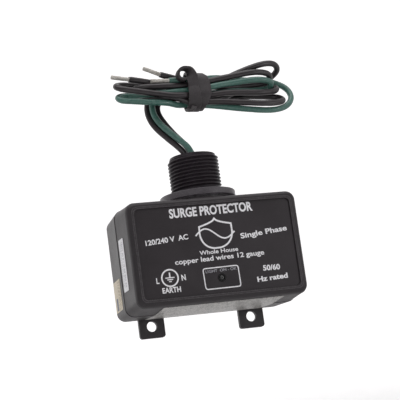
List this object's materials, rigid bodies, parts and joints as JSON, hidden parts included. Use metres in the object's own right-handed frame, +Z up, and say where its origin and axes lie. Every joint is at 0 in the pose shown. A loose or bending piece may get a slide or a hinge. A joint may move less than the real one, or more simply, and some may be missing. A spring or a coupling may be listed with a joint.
{
  "type": "whole house surge protector",
  "caption": "Panel-side surge protector: two-shell black housing with two drilled wall tabs, threaded conduit nipple with locknut, coiled strapped leads and status light.",
  "frame": {"origin": "centre of the rear mounting face, mid height of the housing", "axes": "+X to the right seen from the front, +Y towards the wall behind, +Z up along the conduit nipple"},
  "size_m": [0.1063, 0.0485, 0.1387],
  "materials": {
    "housing_plastic": "fine-grained moulded black plastic",
    "rear_plastic": "fine-grained moulded black plastic",
    "nipple_plastic": "smooth black plastic",
    "locknut_plastic": "smooth dark grey plastic",
    "washer_plastic": "smooth black plastic",
    "seal_rubber": "matte",
    "strap_rubber": "matte",
    "overlay_film": "satin film",
    "bezel_plastic": "gloss",
    "led_lens": "clear tinted",
    "white_label": "satin printed film",
    "date_label": "satin printed film",
    "rating_label": "silver-grey film",
    "green_insulation": "nylon-jacketed wire",
    "black_insulation": "nylon-jacketed wire",
    "tinned_copper": "tinned strand",
    "zinc_steel": "zinc plated",
    "board": "solder mask",
    "terminal_plastic": "moulded",
    "varistor_coat": "epoxy coat",
    "arm_brass": "plated",
    "fuse_ceramic": "ceramic",
    "resistor_coat": "lacquer",
    "capacitor_case": "moulded case",
    "insulating_sheet": "vulcanised fibre"
  },
  "bodies": {
    "housing": {"front_housing": "housing_plastic", "rear_housing": "rear_plastic", "housing_gasket": "seal_rubber", "housing_screws": "zinc_steel", "front_overlay": "overlay_film", "serial_label": "white_label", "date_label": "date_label", "rating_label": "rating_label", "conduit_nipple": "nipple_plastic", "nipple_gasket": "seal_rubber", "wire_ground": "green_insulation", "wire_line_1": "black_insulation", "wire_line_2": "black_insulation", "conductor_tip_ground": "tinned_copper", "conductor_tip_line_1": "tinned_copper", "conductor_tip_line_2": "tinned_copper", "wire_seal_plug": "seal_rubber", "wire_strap": "strap_rubber", "circuit_board": "board", "board_screws": "zinc_steel", "status_led": "led_lens", "led_leads": "tinned_copper", "led_bezel": "bezel_plastic", "led_spacer": "bezel_plastic", "terminal_block": "terminal_plastic", "terminal_screws": "zinc_steel", "varistor_1": "varistor_coat", "varistor_2": "varistor_coat", "varistor_3": "varistor_coat", "varistor_4": "varistor_coat", "disconnect_brackets": "zinc_steel", "disconnect_pins": "zinc_steel", "disconnect_springs": "zinc_steel", "disconnect_contacts": "arm_brass", "fuse_tubes": "fuse_ceramic", "fuse_caps": "zinc_steel", "fuse_clips": "arm_brass", "led_resistors": "resistor_coat", "led_diode": "bezel_plastic", "filter_capacitor": "capacitor_case", "insulating_sheet": "insulating_sheet"},
    "washer": {"locknut_washer": "washer_plastic"},
    "locknut": {"locknut": "locknut_plastic"},
    "arm_left": {"disconnect_arm_left": "arm_brass"},
    "arm_right": {"disconnect_arm_right": "arm_brass"}
  },
  "joints": [
    {"name": "locknut_travel", "type": "slide", "parent": "housing", "child": "washer", "axis": [0, 0, 1], "range_m": [0, 0.01805]},
    {"name": "locknut_turn", "type": "hinge", "parent": "washer", "child": "locknut", "pos_m": [0, -0.0248, 0.0302], "axis": [0, 0, 1], "range_deg": [0, 3571.65]},
    {"name": "disconnect_left", "type": "hinge", "parent": "housing", "child": "arm_left", "pos_m": [-0.0143, -0.0277, -0.014], "axis": [-1, 0, 0], "range_deg": [0, 35]},
    {"name": "disconnect_right", "type": "hinge", "parent": "housing", "child": "arm_right", "pos_m": [0.0165, -0.0277, -0.014], "axis": [-1, 0, 0], "range_deg": [0, 35]}
  ],
  "couplings": [
    {"joint": "locknut_travel", "follows": "locknut_turn", "m_per_rad": 0.00028875}
  ]
}
